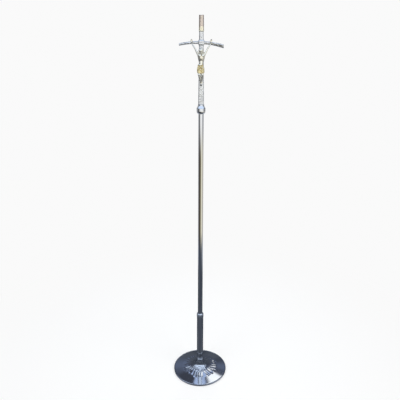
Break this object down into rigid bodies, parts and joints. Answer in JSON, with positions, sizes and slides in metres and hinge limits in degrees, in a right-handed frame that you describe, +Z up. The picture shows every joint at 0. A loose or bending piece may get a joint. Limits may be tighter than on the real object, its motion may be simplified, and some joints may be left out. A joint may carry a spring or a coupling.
{
  "type": "processional cross",
  "caption": "Tall slender processional cross with a drooping crossbar and a cast figure, on a tubular staff with a knob, standing in the socket of a round trumpet-shaped weighted foot.",
  "frame": {"origin": "centre of the foot on the floor", "axes": "+Z up the staff, the figure faces -Y, the crossbar runs along X"},
  "size_m": [0.292, 0.292, 1.88],
  "materials": {
    "chrome": "mirror-polished chrome plate",
    "cast_chrome": "chromed casting with a hammered, bark-like surface",
    "gold": "pale gilt casting, softly polished",
    "nails": "darkened gilt",
    "cast_iron": "black-painted casting",
    "steel": "zinc-plated",
    "brass": "as turned",
    "nylon": "natural nylon",
    "felt": "pressed wool felt"
  },
  "bodies": {
    "base": {"base_shell": "chrome", "base_weight": "cast_iron", "base_plate": "steel", "base_plate_screws": "steel", "base_felt": "felt", "foot_bolt": "steel", "foot_washer": "steel", "foot_spring_washer": "steel", "socket_tube": "chrome", "socket_plug": "brass", "socket_collar": "chrome", "upper_bush": "nylon", "lower_bush": "nylon"},
    "pad": {"socket_pad": "felt"},
    "staff": {"pole_tube": "chrome", "pole_foot_plug": "nylon", "pole_foot_pin": "steel", "pole_head_insert": "brass"},
    "washer": {"head_washer": "nylon"},
    "cross_head": {"knob": "chrome", "head_stud": "brass", "stud_pin": "steel", "upright": "cast_chrome", "junction_boss": "cast_chrome", "crossbar": "cast_chrome", "crossbar_screw": "steel", "title_plate": "gold", "title_rivets": "gold", "figure": "gold", "hand_nails": "nails", "foot_nail": "nails", "figure_screws": "steel"}
  },
  "joints": [
    {"name": "staff_turn", "type": "hinge", "parent": "base", "child": "pad", "pos_m": [0, 0, 0.052], "axis": [0, 0, 1], "continuous": true},
    {"name": "staff_lift", "type": "slide", "parent": "pad", "child": "staff", "axis": [0, 0, 1], "range_m": [0, 0.33]},
    {"name": "head_rise", "type": "slide", "parent": "staff", "child": "washer", "axis": [0, 0, 1], "range_m": [0, 0.0165]},
    {"name": "head_turn", "type": "hinge", "parent": "washer", "child": "cross_head", "pos_m": [0, 0, 1.45], "axis": [0, 0, 1], "range_deg": [0, 2990]}
  ],
  "couplings": [
    {"joint": "head_turn", "follows": "head_rise", "rad_per_m": 3141.6}
  ]
}
